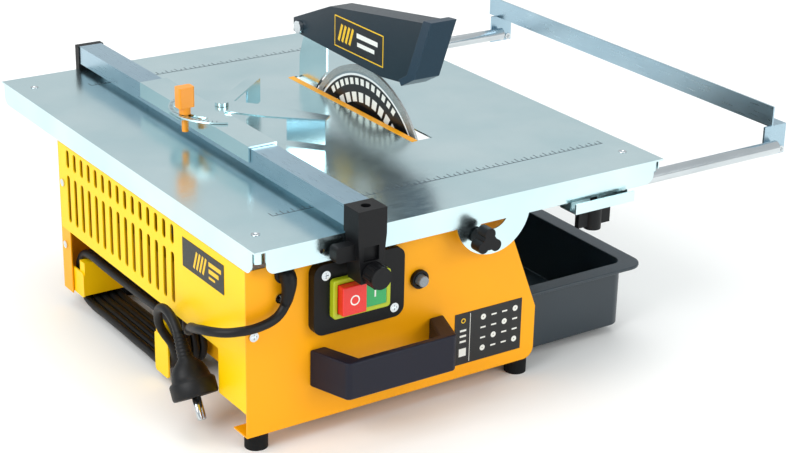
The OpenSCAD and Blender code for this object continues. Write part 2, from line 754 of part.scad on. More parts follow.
module fence_rail() color("lightsteelblue") placed()
  difference() {
    yplate(fence_front, back) translate([fence_x, fence_z]) square([fence_w, fence_h]);
    yplate(fence_front - 1, back + 1)
      translate([fence_x + fence_wall, fence_z + fence_wall])
        square([fence_w - 2 * fence_wall, fence_h - 2 * fence_wall]);
  }
module fence_clamps() color([0.12, 0.13, 0.14]) placed() {
  x0 = fence_x - 1;
  x1 = fence_x + fence_w + 2;
  difference() {
    block([x0, front - 19.4, fence_z - 3.8], [x1, fence_front, fence_top + 1]);
    zbar((x0 + x1) / 2, front - 9, fence_z + 8, fence_top + 2, 4);
  }
  difference() {
    yplate(front - 19.4, front - 0.5)
      polygon([[x0 + 3, 141], [x1 - 4, 141], [x1, fence_z - 3.8], [x0, fence_z - 3.8]]);
    block([x0 + 5, front - 20, 159], [x1 - 7, front - 16, 171]);
    ybar(fence_lock_x, fence_lock_z, front - 21, front + 1, stud_r + run);
  }
  yplate(front - 14, front - 4) translate([x0 - 16, 160]) soft_square(20, 13, 3);
  block([x0, back + 0.6, 160], [x1, back + fence_clamp_back, fence_top]);
  block([x0, back, fence_z], [x1, back + fence_clamp_back, fence_top]);
}
module fence_knob() color([0.08, 0.08, 0.08]) placed() {
  ybar(fence_lock_x, fence_lock_z, front - fence_knob_reach, front - 19.4 - gap, 9);
  ybar(fence_lock_x, fence_lock_z, front - fence_knob_reach, front - 1, stud_r);
  for (a = [0 : 60 : 300])
    ybar(fence_lock_x + 8 * cos(a), fence_lock_z + 8 * sin(a), front - 31, front - 21, 2);
}

module mitre_sled() color("silver") placed() {
  x0 = fence_x - gap - 1.6;
  x1 = fence_x + fence_w + gap + 1.6;
  block([x0, sled_y, fence_top + gap], [x1, sled_y + sled_l, sled_top]);
  block([x0, sled_y, fence_z + 5], [x0 + 1.6, sled_y + sled_l, sled_top]);
  block([x1 - 1.6, sled_y, fence_z + 5], [x1, sled_y + sled_l, sled_top]);
  difference() {
    zplate(fence_top + gap, sled_top) {
      translate([mitre_x - slot_arc_r - 8, mitre_y - 10]) square([x0 - mitre_x + slot_arc_r + 8, 20]);
      translate([mitre_x, mitre_y]) circle(9);
    }
    zbar(lock_stud_x, lock_stud_y, fence_top, sled_top + 1, stud_r + run);
  }
  zbar(mitre_x, mitre_y, sled_top, mitre_z + mitre_t + gap + 3, stud_r);
  zbar(mitre_x, mitre_y, mitre_z + mitre_t + gap, mitre_z + mitre_t + gap + 3, mitre_head_r);
}
module mitre_plate() color("silver") placed()
  translate([mitre_x, mitre_y, 0]) {
    zplate(mitre_z, mitre_z + mitre_t)
      difference() {
        union() {
          intersection() {
            circle(mitre_r);
            wedge(118, 248, mitre_r);
          }
          circle(16);
          rotate(41) translate([0, -6]) square([84, 12]);
          rotate(-50.4) polygon([[0, -14], [45, -14], [arm_l, -6], [arm_l, 6], [45, 14], [0, 14]]);
        }
        circle(stud_r + run);
        arc_slot(slot_arc_r, stud_r + gap, 180 + knob_turn - mitre_swing, 180 + knob_turn + mitre_swing);
      }
    rotate(41) block([50, -6, fence_z - 2], [84, -4.5, mitre_z + mitre_t]);
    rotate(-50.4) block([62, -6, fence_z - 2], [arm_l, -4.5, mitre_z + mitre_t]);
  }
module mitre_knob() color("orange") placed()
  translate([lock_stud_x, lock_stud_y, 0]) {
    zplate(mitre_z + mitre_t + gap, mitre_z + mitre_t + gap + 10) circle(5);
    zplate(mitre_z + mitre_t + gap + 6, mitre_z + mitre_t + gap + 24)
      translate([-7.5, -5]) soft_square(15, 10, 2);
    zplate(sled_top - 14, mitre_z + mitre_t + gap) circle(stud_r);
  }

table_top();
slot_strip();
hinge_lugs();
tilt_quadrant();
extension_clamps();
front_panel();
rear_panel();
side_grille();
recess_wall();
cord_hooks();
rubber_feet();
motor_bulkhead();
tray_rails();
cabinet_screws();
switch_plate();
switch_bezel();
switch_body();
stop_button();
start_button();
reset_ring();
reset_button();
carry_handle();
rating_label();
side_label();
cable_gland();
cord_lead();
plug_lead();
cord_hank();
plug();
motor_housing();
motor_end_cap();
stator();
shaft_bearings();
capacitor();
rotor_shaft();
cooling_fan();
blade_flanges();
blade();
blade_rim();
arbor_nut();
riving_knife();
knife_bracket();
hinge_pins();
tilt_lock_bolt();
tilt_knob();
blade_guard();
guard_lip();
guard_bolt();
water_tray();
extension_tubes();
extension_angle();
strap_screws();
front_clamp_knob();
rear_clamp_knob();
fence_rail();
fence_clamps();
fence_knob();
mitre_sled();
mitre_plate();
mitre_knob();
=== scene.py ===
# %% [markdown]
# # A wet tile saw
# This lesson dresses a finished machine. The bodies and joints come in as a fixed frame, in metres; every
# new piece is a surface worked out with numpy, and every finish is a small network of nodes. Work goes
# from the camera and the mains cord to the sheet metal, the plastics, the blade and the printed marks.

# %% Load the frame
import json
import math

import bmesh
import bpy
import numpy as np
from mathutils import Matrix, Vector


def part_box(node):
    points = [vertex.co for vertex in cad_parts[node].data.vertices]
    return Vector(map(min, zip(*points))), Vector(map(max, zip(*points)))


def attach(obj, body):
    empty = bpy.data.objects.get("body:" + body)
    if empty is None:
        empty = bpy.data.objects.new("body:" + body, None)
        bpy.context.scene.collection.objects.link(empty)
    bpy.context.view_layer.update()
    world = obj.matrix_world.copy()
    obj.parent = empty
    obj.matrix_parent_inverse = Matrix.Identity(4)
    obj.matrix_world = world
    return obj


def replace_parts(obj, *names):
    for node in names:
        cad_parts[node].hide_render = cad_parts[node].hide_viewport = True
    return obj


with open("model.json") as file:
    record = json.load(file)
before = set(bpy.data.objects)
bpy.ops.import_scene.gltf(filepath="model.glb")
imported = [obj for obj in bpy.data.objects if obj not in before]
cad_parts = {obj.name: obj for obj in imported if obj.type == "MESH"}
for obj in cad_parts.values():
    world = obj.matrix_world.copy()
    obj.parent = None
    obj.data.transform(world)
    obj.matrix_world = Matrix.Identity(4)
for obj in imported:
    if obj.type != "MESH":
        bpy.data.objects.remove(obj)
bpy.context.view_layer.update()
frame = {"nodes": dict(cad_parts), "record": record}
MM = 0.001

# %% [markdown]
# ## Where things are
# The drawing was made with the table's centre as its zero, so this function turns a place in millimetres
# from the table's centre into the frame's metres. The table's own box gives the shift, so nothing is typed
# twice.

# %% Places
table_low, table_high = (np.array(v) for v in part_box("table_top"))
table_mid = (table_low + table_high) / 2


def place(x, y, z):
    """A point given in millimetres from the table's centre and the bench, in the frame's metres."""
    return np.array([table_mid[0] + x * MM, table_mid[1] + y * MM, z * MM])


print("table centre", table_mid.round(4))

# %% [markdown]
# ## Camera
# A long lens about 1.7 m away, above and to the left of the front corner. Its matrix is built from a
# turn about Z, a tilt above the horizon and a small roll, and its columns are right, up and back.

# %% Camera
AZIMUTH, ELEVATION, ROLL = (math.radians(a) for a in (-34.06, 22.34, 1.25))
cam_data = bpy.data.cameras.new("camera")
cam_data.sensor_width = 36.0
cam_data.lens = 85.03
cam = bpy.data.objects.new("camera", cam_data)
bpy.context.collection.objects.link(cam)
back = np.array([math.sin(AZIMUTH) * math.cos(ELEVATION), -math.cos(AZIMUTH) * math.cos(ELEVATION),
                 math.sin(ELEVATION)])
flat_right = np.array([math.cos(AZIMUTH), math.sin(AZIMUTH), 0.0])
flat_up = np.cross(back, flat_right)
right = math.cos(ROLL) * flat_right + math.sin(ROLL) * flat_up
up = math.cos(ROLL) * flat_up - math.sin(ROLL) * flat_right
pose = np.eye(4)
pose[:3, 0], pose[:3, 1], pose[:3, 2] = right, up, back
pose[:3, 3] = place(-823.1, -1343.5, 721.8)
cam.matrix_world = Matrix(pose.tolist())
bpy.context.scene.camera = cam
print("camera at", pose[:3, 3].round(3))

# %% [markdown]
# ## Helpers for finishes
# Colours are written as sRGB hex, the way a paint chart gives them, and turned to the linear values that a
# renderer adds up. One function adds any node with its settings and its links.

# %% Colour and node helpers
def linear(code):
    """sRGB hex to linear: below 0.04045 divide by 12.92, above it ((c + 0.055) / 1.055) to the power 2.4."""
    c = np.array([int(code[i:i + 2], 16) for i in (1, 3, 5)]) / 255.0
    return (*np.where(c <= 0.04045, c / 12.92, ((c + 0.055) / 1.055) ** 2.4).tolist(), 1.0)


def add(tree, kind, inputs=None, **settings):
    """Adds one node: settings are its properties, inputs are constants or the sockets that feed it."""
    node = tree.nodes.new(kind)
    for key, value in settings.items():
        setattr(node, key, value)
    for key, value in (inputs or {}).items():
        if isinstance(value, bpy.types.NodeSocket):
            tree.links.new(value, node.inputs[key])
        else:
            node.inputs[key].default_value = value
    return node


def new_finish(name, **base):
    """A material with one Principled shader: returns it, its tree, the shader and its object coordinates."""
    mat = bpy.data.materials.new(name)
    mat.use_nodes = True
    tree = mat.node_tree
    shader = tree.nodes["Principled BSDF"]
    for key, value in base.items():
        shader.inputs[key.replace("_", " ")].default_value = value
    coords = add(tree, "ShaderNodeTexCoord").outputs["Object"]
    return mat, tree, shader, coords


def ramp(tree, factor, stops, smooth=True):
    """A colour ramp through the given (position, colour) stops, fed by a factor socket."""
    node = add(tree, "ShaderNodeValToRGB", {"Fac": factor})
    node.color_ramp.interpolation = "LINEAR" if smooth else "CONSTANT"
    while len(node.color_ramp.elements) < len(stops):
        node.color_ramp.elements.new(0.5)
    for element, (at, colour) in zip(node.color_ramp.elements, stops):
        element.position = at
        element.color = colour
    return node.outputs["Color"]


def grey(v):
    """The same linear value in all three channels, for a ramp that drives roughness."""
    return (v, v, v, 1.0)


# %% [markdown]
# ## Finishes
# **Zinc-plated steel.** The table, sled and clamps are cold-rolled sheet with a bright, pale zinc coat.
# Rolling leaves faint streaks along one way, so a noise is stretched 15 times along X and drives the
# roughness and a very thin bump. A broad cloud a palm wide changes the tint, as handling does.

# %% Zinc sheet
def rolled_sheet(name, code, dark, rough, streak=(6.0, 90.0, 90.0)):
    """Metal: colour = ramp of a broad noise from dark to code, roughness = rough + 0.09 * streak noise."""
    mat, tree, shader, coords = new_finish(name, Metallic=1.0)
    along_roll = add(tree, "ShaderNodeMapping", {"Vector": coords, "Scale": streak})
    grain = add(tree, "ShaderNodeTexNoise",
                {"Vector": along_roll.outputs[0], "Scale": 9.0, "Detail": 5.0})
    cloud = add(tree, "ShaderNodeTexNoise", {"Vector": coords, "Scale": 11.0, "Detail": 3.0})
    tree.links.new(ramp(tree, cloud.outputs["Fac"], [(0.3, linear(dark)), (0.7, linear(code))]),
                   shader.inputs["Base Color"])
    tree.links.new(ramp(tree, grain.outputs["Fac"], [(0.3, grey(rough)), (0.75, grey(rough + 0.09))]),
                   shader.inputs["Roughness"])
    bump = add(tree, "ShaderNodeBump",
               {"Height": grain.outputs["Fac"], "Strength": 0.05, "Distance": 0.0002})
    tree.links.new(bump.outputs[0], shader.inputs["Normal"])
    return mat


zinc_sheet = rolled_sheet("zinc_plated_rolled_steel", "#DDF1F4", "#CBE6EB", 0.17)
anodised = rolled_sheet("satin_anodised_aluminium", "#B2CBD8", "#9DB9C9", 0.26, streak=(90.0, 5.0, 90.0))
bright_steel = rolled_sheet("bright_plated_steel", "#D5DBDE", "#C3CACE", 0.12)
cast_grey = rolled_sheet("painted_cast_aluminium", "#7D8285", "#6B7073", 0.5, streak=(60.0, 60.0, 60.0))
print("sheet finishes made")

# %% [markdown]
# ** Powder coat.** Melted powder sets into a glossy skin with an orange-peel ripple about 1.4 mm across,
# which is a smooth noise in a shallow bump. The front and rear panels are amber, and the side and the hooks
# are yellower. The recess gets a darker, more orange copy of the yellow coat as painted shade in the hollow.
# A broad noise shifts each colour by a few percent. Plastics use the same network.

# %% Powder coat and plastics
def coated(name, code, shade, rough, ripple_mm, strength, coat=0.0, metal=0.0, gloss=0.5):
    """Paint or plastic: colour = ramp of a broad noise from shade to code. A smooth noise ripple_mm across
    drives roughness = rough + 0.12 * ripple and a shallow bump."""
    mat, tree, shader, coords = new_finish(name, Coat_Weight=coat, Coat_Roughness=0.08, Metallic=metal,
                                           Specular_IOR_Level=gloss)
    ripple = add(tree, "ShaderNodeTexNoise",
                 {"Vector": coords, "Scale": 1.0 / (ripple_mm * MM), "Detail": 2.0})
    cloud = add(tree, "ShaderNodeTexNoise", {"Vector": coords, "Scale": 9.0, "Detail": 4.0})
    tree.links.new(ramp(tree, cloud.outputs["Fac"], [(0.25, linear(shade)), (0.75, linear(code))]),
                   shader.inputs["Base Color"])
    tree.links.new(ramp(tree, ripple.outputs["Fac"], [(0.2, grey(rough)), (0.8, grey(rough + 0.12))]),
                   shader.inputs["Roughness"])
    bump = add(tree, "ShaderNodeBump",
               {"Height": ripple.outputs["Fac"], "Strength": strength, "Distance": 0.0004})
    tree.links.new(bump.outputs[0], shader.inputs["Normal"])
    return mat


powder_coat = coated("amber_powder_coat_on_steel", "#FFAE00", "#FBA600", 0.34, 1.4, 0.12, gloss=0.3)
powder_side = coated("yellow_powder_coat_on_steel", "#FFD000", "#FBC800", 0.34, 1.4, 0.12, gloss=0.3)
# The recess copy is darker and more orange than the yellow side: painted shade in the recess.
recess_painted_shade_coat = coated("yellow_powder_coat_painted_recess_shade", "#F2AE06", "#EAA404", 0.42, 1.4, 0.12, gloss=0.3)
strip_paint = coated("amber_printed_film", "#F5A800", "#EFA000", 0.3, 1.0, 0.05)
nylon = coated("black_moulded_nylon", "#08090B", "#0C0D11", 0.42, 0.7, 0.3, gloss=0.25)
handle_nylon = coated("navy_black_moulded_nylon", "#0B0D1C", "#0F1124", 0.4, 0.7, 0.25, gloss=0.3)
guard_abs = coated("dark_slate_moulded_abs", "#0F2430", "#0C1E29", 0.3, 1.1, 0.12, gloss=0.4)
lip_abs = coated("slate_moulded_abs_lip", "#1B3446", "#172D3D", 0.32, 1.1, 0.12, gloss=0.4)
tray_abs = coated("slate_vacuum_formed_abs", "#26333C", "#1E2A32", 0.33, 1.6, 0.15, coat=0.15)
lime_abs = coated("lime_moulded_abs", "#B5C21B", "#A9B615", 0.3, 0.9, 0.1)
red_abs = coated("red_moulded_abs", "#E3261B", "#D61F16", 0.25, 0.8, 0.08, coat=0.2)
green_abs = coated("green_moulded_abs", "#27A65A", "#1F9A50", 0.25, 0.8, 0.08, coat=0.2)
orange_abs = coated("orange_moulded_abs", "#F59A0B", "#EE9008", 0.28, 0.8, 0.1, coat=0.2)
smoke_pc = coated("smoke_polycarbonate_cap", "#8E9499", "#7E8589", 0.2, 0.9, 0.05, coat=0.4)
foot_rubber = coated("black_moulded_rubber", "#0A0B0C", "#0E0F10", 0.7, 0.5, 0.4, gloss=0.25)
jacket = coated("black_pvc_cord_jacket", "#08090B", "#0C0D10", 0.42, 0.8, 0.15, gloss=0.3)
label_film = coated("black_label_film", "#0E1012", "#0A0B0D", 0.35, 2.0, 0.03)
copper_ring = coated("varnished_copper_windings", "#A2542A", "#7C3B1B", 0.4, 0.5, 0.5, coat=0.3, metal=0.6)
white_ink = coated("white_printing_ink", "#EDEDE6", "#E4E4DC", 0.4, 1.0, 0.02)
yellow_ink = coated("yellow_printing_ink", "#F2C31B", "#E9B90F", 0.4, 1.0, 0.02)
dark_ink = coated("grey_printing_ink", "#3B4A54", "#33414A", 0.5, 1.0, 0.02)
print("coats and plastics made")

# %% [markdown]
# ## Making surfaces
# Turned and swept pieces are grids of points worked out at once. `grid_piece` puts such a grid into a mesh:
# its columns run round a section, its rows run along a path, and a fan onto one pole point closes each end.

# %% Grid surfaces
body_of_node = {n: b for b, ns in frame["record"]["behaviour"]["bodies"].items() for n in ns}


def refinish(obj, finish):
    """Leaves an object with one finish and no other."""
    obj.data.materials.clear()
    obj.data.materials.append(finish)


def dress(obj, body, finish):
    """Gives a new piece its body and its finish."""
    refinish(obj, finish)
    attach(obj, body)
    return obj


def mesh_piece(name, verts, faces, smooth=True):
    """A mesh object at the origin from an array of points and a list of faces, with its normals outwards."""
    mesh = bpy.data.meshes.new(name)
    mesh.from_pydata(np.asarray(verts, float).tolist(), [], [list(map(int, f)) for f in faces])
    work = bmesh.new()
    work.from_mesh(mesh)
    bmesh.ops.recalc_face_normals(work, faces=work.faces)
    work.to_mesh(mesh)
    work.free()
    mesh.polygons.foreach_set("use_smooth", [smooth] * len(mesh.polygons))
    obj = bpy.data.objects.new(name, mesh)
    bpy.context.collection.objects.link(obj)
    return obj


def grid_piece(name, rows, smooth=True):
    """rows is an array (n, m, 3): quads join each row to the next, and a pole closes each end."""
    n, m, _ = rows.shape
    verts = np.vstack([rows.reshape(-1, 3), rows[0].mean(0), rows[-1].mean(0)])
    i, k = np.meshgrid(np.arange(n - 1), np.arange(m), indexing="ij")
    a, b = i * m + k, i * m + (k + 1) % m
    quads = np.stack([a, b, b + m, a + m], -1).reshape(-1, 4)
    k = np.arange(m)
    first = np.stack([np.full(m, n * m), (k + 1) % m, k], -1)
    last = np.stack([np.full(m, n * m + 1), (n - 1) * m + k, (n - 1) * m + (k + 1) % m], -1)
    return mesh_piece(name, verts, quads.tolist() + first.tolist() + last.tolist(), smooth)


def turned(name, profile, origin, axis, sides=48, squash=None):
    """A turned piece: point = origin + d * axis + r * (cos t * u + sin t * v) for each (d, r) of the
    profile. squash(d, t) multiplies the radius, for grips and flats."""
    axis = np.asarray(axis, float) / np.linalg.norm(axis)
    u = np.cross(axis, [0.0, 0.0, 1.0] if abs(axis[2]) < 0.9 else [1.0, 0.0, 0.0])
    u /= np.linalg.norm(u)
    v = np.cross(axis, u)
    d, r = (np.array(profile) * MM).T[:, :, None]
    t = np.linspace(0.0, 2 * np.pi, sides, endpoint=False)[None, :]
    if squash:
        r = r * squash(d / MM, t)
    rows = (np.asarray(origin) + d[..., None] * axis + (r * np.cos(t))[..., None] * u
            + (r * np.sin(t))[..., None] * v)
    return grid_piece(name, rows)


def swept(name, path, radii, across, sides=24):
    """A round section carried along a path: point = p + r * (cos t * side + sin t * over), where side is the
    cross product of the run and the given direction across, and over stands on both."""
    path = np.asarray(path, float)
    run = np.gradient(path, axis=0)
    run /= np.linalg.norm(run, axis=1)[:, None]
    side = np.cross(run, across)
    side /= np.linalg.norm(side, axis=1)[:, None]
    over = np.cross(run, side)
    t = np.linspace(0.0, 2 * np.pi, sides, endpoint=False)[None, :, None]
    r = (np.asarray(radii) * MM)[:, None, None]
    return grid_piece(name, path[:, None] + r * (np.cos(t) * side[:, None] + np.sin(t) * over[:, None]))


def tiles(name, centres, halves, origin, u, v, thick=0.12, turn=0.0):
    """Many thin printed boxes on one plane: corner = origin + U * u + V * v + W * n, where n = u x v.
    U and V are the centre plus or minus the half sizes turned by an angle, and W is 0 or the thickness."""
    u, v = np.asarray(u, float), np.asarray(v, float)
    n = np.cross(u, v)
    c, h = np.asarray(centres, float), np.broadcast_to(np.asarray(halves, float), np.shape(centres))
    turn = np.broadcast_to(turn, len(c))[:, None]
    sx, sy = np.array([[-1, 1, 1, -1], [-1, -1, 1, 1]], float)
    a, b = sx * h[:, :1], sy * h[:, 1:]
    flat_u = c[:, :1] + a * np.cos(turn) - b * np.sin(turn)
    flat_v = c[:, 1:] + a * np.sin(turn) + b * np.cos(turn)
    low = np.asarray(origin) + MM * (flat_u[..., None] * u + flat_v[..., None] * v)
    verts = np.concatenate([low, low + MM * thick * n], 1).reshape(-1, 3)
    box = np.array([[3, 2, 1, 0], [4, 5, 6, 7], [0, 1, 5, 4], [1, 2, 6, 5], [2, 3, 7, 6], [3, 0, 4, 7]])
    faces = (box[None] + 8 * np.arange(len(c))[:, None, None]).reshape(-1, 4)
    return mesh_piece(name, verts, faces, smooth=False)


def arcs(name, pieces, origin, u, v, thick=0.12, steps=24):
    """Printed ring sectors: each is (r0, r1, a0, a1), and point = origin + r * (cos a * u + sin a * v)."""
    u, v = np.asarray(u, float), np.asarray(v, float)
    n = np.cross(u, v)
    verts, faces = [], []
    for r0, r1, a0, a1 in pieces:
        a = np.radians(np.linspace(a0, a1, steps))[:, None]
        ring = [np.asarray(origin) + MM * (r * (np.cos(a) * u + np.sin(a) * v) + w * n)
                for r, w in ((r0, 0.0), (r1, 0.0), (r1, thick), (r0, thick))]
        base = sum(len(x) for x in verts)
        verts.append(np.stack(ring, 1).reshape(-1, 3))
        k = base + 4 * np.arange(steps - 1)[:, None]
        faces += np.concatenate([np.hstack([k + i, k + (i + 1) % 4, k + 4 + (i + 1) % 4, k + 4 + i])
                                 for i in range(4)]).tolist()
        faces += [[base, base + 1, base + 2, base + 3], [base + 4 * (steps - 1) + i for i in (3, 2, 1, 0)]]
    return mesh_piece(name, np.concatenate(verts), faces, smooth=False)


print("surface helpers ready")

# %% [markdown]
# ## Mains cord
# One smooth curve from the gland to the plug. The lead drops out of the gland, swings round the corner of
# the cabinet, crosses over the hank to its inner side, makes five turns round the two hooks working
# outwards, and leaves the front of the hank to hang down to its plug. The turns are worked out by a loop,
# a diameter apart.

# %% Cord route
CORD_D = 7.5
LEAD = [(-166, -231, 137), (-167.5, -231, 130), (-170.5, -231, 123.5), (-175.5, -231.5, 118.5),
        (-182, -232, 115.5), (-190, -232.5, 114), (-199, -233, 113.5), (-208, -231, 113),
        (-217, -224.5, 111.5), (-223.5, -214.5, 110), (-226, -203, 107.5), (-225, -190, 103),
        (-221, -176, 97.5), (-215, -162, 90),
        (-208, -148, 81.5), (-202, -134, 72.5), (-196.5, -120, 67.5), (-190, -107, 66), (-183, -94, 66),
        (-177.5, -80, 66), (-173, -62, 66), (-169, -42, 66), (-165.5, -20, 66), (-162, 2, 63.5),
        (-160.5, 24, 60), (-160.5, 40, 58.3)]
PLUG_LEAD = [(-191, -74, 14.5), (-191, -83, 22), (-193, -90, 33), (-197, -92, 43), (-203, -92, 53),
             (-207, -92, 62), (-210, -95.5, 74), (-212.5, -105, 83.7), (-213.5, -118, 87.2),
             (-214, -131, 83.7), (-214, -140, 75)]
HANK_FRONT, HANK_BACK, HANK_Z, HANK_R = -62.5, 77.5, 34.5, 23.75
FIRST_X, TURNS, FOLD_STEPS = -160.5, 5, 7


def hank_turn(k):
    """Turn k: down the back fold, forward along the bottom, up the front fold and back along the top. A
    fold's point is the centre + R * (cos a, sin a). The front fold climbs one diameter outwards."""
    x = FIRST_X - k * CORD_D
    down = np.radians(np.linspace(90, -90, FOLD_STEPS))
    up_fold = np.radians(np.linspace(270, 90, FOLD_STEPS))
    points = [(x, HANK_BACK + HANK_R * math.cos(a), HANK_Z + HANK_R * math.sin(a)) for a in down]
    points += [(x, y, HANK_Z - HANK_R) for y in (45, 10, -30)]
    if k < TURNS - 1:
        share = np.linspace(0, 1, FOLD_STEPS)
        points += [(x - s * CORD_D, HANK_FRONT + HANK_R * math.cos(a), HANK_Z + HANK_R * math.sin(a))
                   for a, s in zip(up_fold, share)]
        points += [(x - CORD_D, y, HANK_Z + HANK_R) for y in (-30, 10, 45)]
    return points


route = LEAD + [p for k in range(TURNS) for p in hank_turn(k)] + PLUG_LEAD
route = np.array([place(*p) for p in route])
curve = bpy.data.curves.new("mains_cord", "CURVE")
curve.dimensions = "3D"
curve.bevel_depth = CORD_D / 2 * MM
curve.bevel_resolution = 5
curve.resolution_u = 8
spline = curve.splines.new("BEZIER")
spline.bezier_points.add(len(route) - 1)
for point, at in zip(spline.bezier_points, route):
    point.co = at
    point.handle_left_type = point.handle_right_type = "AUTO"
cord = bpy.data.objects.new("mains_cord", curve)
bpy.context.collection.objects.link(cord)
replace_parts(dress(cord, "root", jacket), "cord_lead", "plug_lead", "cord_hank")

# %% [markdown]
# **Plug and boots.** A moulded plug is one turned body: a ribbed strain relief that grows into a waisted
# grip and ends in a round face with two pins. Ribs are steps in the profile, and the grip is squeezed by a
# cosine of twice the angle. The gland's boot is a round section swept round a bend and tapered towards the
# cord.

# %% Plug and boots
PLUG_LEAN = math.radians(32)
plug_top = place(*PLUG_LEAD[-1])
plug_axis = np.array([0.0, -math.sin(PLUG_LEAN), -math.cos(PLUG_LEAN)])
PLUG_TURN = math.radians(-58)
plug_across = np.array([math.cos(PLUG_TURN), -math.cos(PLUG_LEAN) * math.sin(PLUG_TURN),
                        math.sin(PLUG_LEAN) * math.sin(PLUG_TURN)])
relief = [(d, 4.3 + 0.09 * d + 0.55 * (int(d / 1.5) % 2)) for d in np.arange(-2.0, 20.0, 0.75)]
grip = [(21, 7.2), (23, 9.5), (26, 12.5), (30, 14.6), (34, 15.6), (37, 16.2), (38.5, 18.2), (40, 18.9),
        (50, 18.9), (51.4, 18.4), (52, 17.4), (52, 12), (50.5, 11.4), (50.5, 3)]


def squeeze(d, t):
    """1 - 0.2 * bump(d) * (1 - cos 2t) / 2, with bump a bell curve at d = 30, so two sides are flattened."""
    bump = np.exp(-((d - 30.0) / 7.0) ** 2)
    return 1.0 - 0.2 * bump * (1.0 - np.cos(2 * t)) / 2


plug = turned("mains_plug", relief + grip, plug_top, plug_axis, 64, squeeze)
dress(plug, "root", jacket)
for side in (-9.5, 9.5):
    pin = turned(f"plug_pin_{'a' if side < 0 else 'b'}",
                 [(50, 2.35), (69.5, 2.35), (70.5, 1.9), (71, 1.0)],
                 plug_top + side * MM * plug_across, plug_axis, 24)
    dress(pin, "root", bright_steel)
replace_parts(plug, "plug")

boot = swept("cord_boot",
             [place(*p) for p in [(-166, -223.4, 149), (-166, -227, 149), (-166, -229.5, 148.4),
                                  (-166, -231, 146.5), (-166, -231.4, 143), (-166, -231.2, 139.5),
                                  (-166.6, -231, 134.5), (-167.6, -231, 130), (-169.6, -231, 125.5)]],
             [6.8, 6.8, 6.7, 6.5, 6.1, 5.7, 5.1, 4.6, 4.15], (1.0, 0.0, 0.0), 32)
dress(boot, "root", nylon)
ring = turned("gland_ring", [(0, 8.3), (0.4, 8.5), (2.2, 8.3), (2.9, 7.4), (3, 5)], place(-166, -223.6, 149),
              (0, -1, 0), 48)
dress(ring, "root", nylon)
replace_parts(boot, "cable_gland")
# The smooth curve is about 0.3 percent longer than the chords between its points.
print("plug and boots made")

# %% [markdown]
# ## CAD pieces that keep their shape
# Steel parts are right as they come, so they only get a finish. Moulded parts have edges as sharp as the
# drawing, and real moulds never do, so a merged copy of each gets a small bevel and stands for the node.

# %% Finishes for the nodes that stay
KEPT = {
    zinc_sheet: ["table_top", "hinge_lugs", "tilt_quadrant", "extension_clamps", "motor_bulkhead",
                 "tray_rails", "riving_knife", "knife_bracket", "mitre_sled", "mitre_plate", "capacitor"],
    powder_coat: ["front_panel", "rear_panel"],
    powder_side: ["side_grille", "cord_hooks"],
    # The recess wall takes the darker copy of the yellow coat, which is painted shade.
    recess_painted_shade_coat: ["recess_wall"],
    strip_paint: ["slot_strip"],
    anodised: ["fence_rail", "extension_angle"],
    bright_steel: ["extension_tubes", "rotor_shaft", "hinge_pins", "tilt_lock_bolt", "guard_bolt",
                   "arbor_nut", "blade_flanges", "shaft_bearings", "cabinet_screws", "strap_screws"],
    cast_grey: ["motor_housing", "motor_end_cap"],
    copper_ring: ["stator"],
    nylon: ["switch_body", "cooling_fan"],
    label_film: ["rating_label", "side_label"],
    foot_rubber: ["rubber_feet"],
}
for finish, names in KEPT.items():
    for name in names:
        refinish(frame["nodes"][name], finish)
print("kept nodes", sum(map(len, KEPT.values())))


# %% Softened moulded parts
def softened(node, width_mm, finish):
    """A merged copy of a CAD node: flat faces joined, and edges over 30 degrees rounded by a bevel."""
    work = bmesh.new()
    work.from_mesh(frame["nodes"][node].data)
    bmesh.ops.remove_doubles(work, verts=work.verts, dist=1e-6)
    bmesh.ops.dissolve_limit(work, angle_limit=math.radians(1.0), verts=work.verts, edges=work.edges)
    mesh = bpy.data.meshes.new(node + "_moulded")
    work.to_mesh(mesh)
    work.free()
    mesh.polygons.foreach_set("use_smooth", [True] * len(mesh.polygons))
    obj = bpy.data.objects.new(node + "_moulded", mesh)
    bpy.context.collection.objects.link(obj)
    bevel = obj.modifiers.new("soft_edges", "BEVEL")
    bevel.width = width_mm * MM
    bevel.segments = 3
    bevel.limit_method = "ANGLE"
    bevel.angle_limit = math.radians(30)
    weights = obj.modifiers.new("flat_faces", "WEIGHTED_NORMAL")
    weights.keep_sharp = False
    dress(obj, body_of_node[node], finish)
    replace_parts(obj, node)
    return obj


for node, width, finish, slot in [
        ("carry_handle", 2.2, handle_nylon, "black_plastic"), ("switch_plate", 1.2, nylon, "black_plastic"),
        ("switch_bezel", 0.9, lime_abs, "lime_plastic"), ("stop_button", 1.0, red_abs, "red_plastic"),
        ("start_button", 0.6, green_abs, "green_plastic"), ("reset_ring", 0.6, nylon, "black_plastic"),
        ("reset_button", 0.9, smoke_pc, "clear_plastic"), ("tilt_knob", 1.4, nylon, "black_plastic"),
        ("front_clamp_knob", 1.2, nylon, "black_plastic"), ("rear_clamp_knob", 1.2, nylon, "black_plastic"),
        ("fence_clamps", 1.5, nylon, "black_plastic"), ("fence_knob", 0.8, nylon, "black_plastic"),
        ("mitre_knob", 1.2, orange_abs, "orange_plastic"), ("blade_guard", 0.5, guard_abs, "guard_plastic"),
        ("guard_lip", 0.6, lip_abs, "guard_plastic"), ("water_tray", 0.9, tray_abs, "tray_plastic")]:
    softened(node, width, finish)
print("moulded parts softened")

# %% [markdown]
# ## Blade
# A diamond blade has a pressed steel core printed black, a thin white line near its edge, and a sintered
# rim full of grit. The core's finish reads the distance from the axis, so its rings are true circles.

# %% Blade finishes
blade_low, blade_high = (np.array(v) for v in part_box("blade_rim"))
blade_mid = (blade_low + blade_high) / 2
blade_top_r = (blade_high[2] - blade_low[2]) / 2


